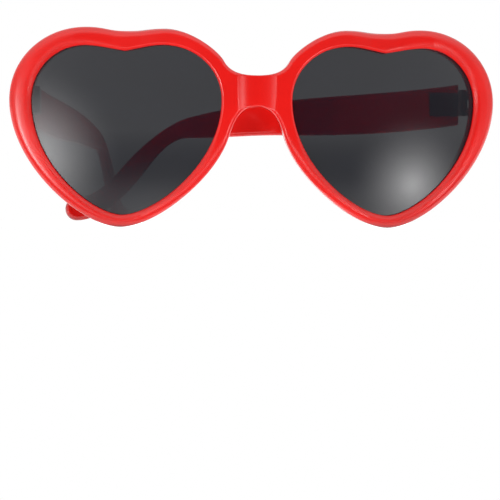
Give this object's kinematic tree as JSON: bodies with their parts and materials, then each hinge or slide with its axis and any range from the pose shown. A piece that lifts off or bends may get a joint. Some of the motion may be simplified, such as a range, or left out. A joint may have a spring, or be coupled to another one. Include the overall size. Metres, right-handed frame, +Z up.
{
  "type": "heart shaped sunglasses",
  "caption": "Sunglasses with a glossy red moulded front of heart shaped rims, dark tinted heart lenses and folding temples with ear bends on screwed metal hinges.",
  "frame": {"origin": "saddle of the bridge: top of the nose arch, in the middle of the front's depth", "axes": "+X to the wearer's left, +Y back towards the wearer, +Z up, as worn"},
  "size_m": [0.15, 0.1403, 0.0609],
  "materials": {
    "red_moulding": "glossy opaque red moulded plastic",
    "tinted_lens": "polished dark grey tinted clear plastic",
    "hinge_steel": "plain bright stamped steel"
  },
  "bodies": {
    "front": {"front_frame": "red_moulding", "right_lens": "tinted_lens", "right_hinge_front_leaf": "hinge_steel", "right_hinge_screw": "hinge_steel", "left_lens": "tinted_lens", "left_hinge_front_leaf": "hinge_steel", "left_hinge_screw": "hinge_steel"},
    "right_temple": {"right_temple": "red_moulding", "right_hinge_temple_leaf": "hinge_steel"},
    "left_temple": {"left_temple": "red_moulding", "left_hinge_temple_leaf": "hinge_steel"}
  },
  "joints": [
    {"name": "right_temple_hinge", "type": "hinge", "parent": "front", "child": "right_temple", "pos_m": [-0.0667, 0.0176, 0.002], "axis": [0, -0.0152, -0.9999], "range_deg": [-16, 71]},
    {"name": "left_temple_hinge", "type": "hinge", "parent": "front", "child": "left_temple", "pos_m": [0.0667, 0.0176, 0.002], "axis": [0, -0.0152, -0.9999], "range_deg": [0, 92]}
  ]
}
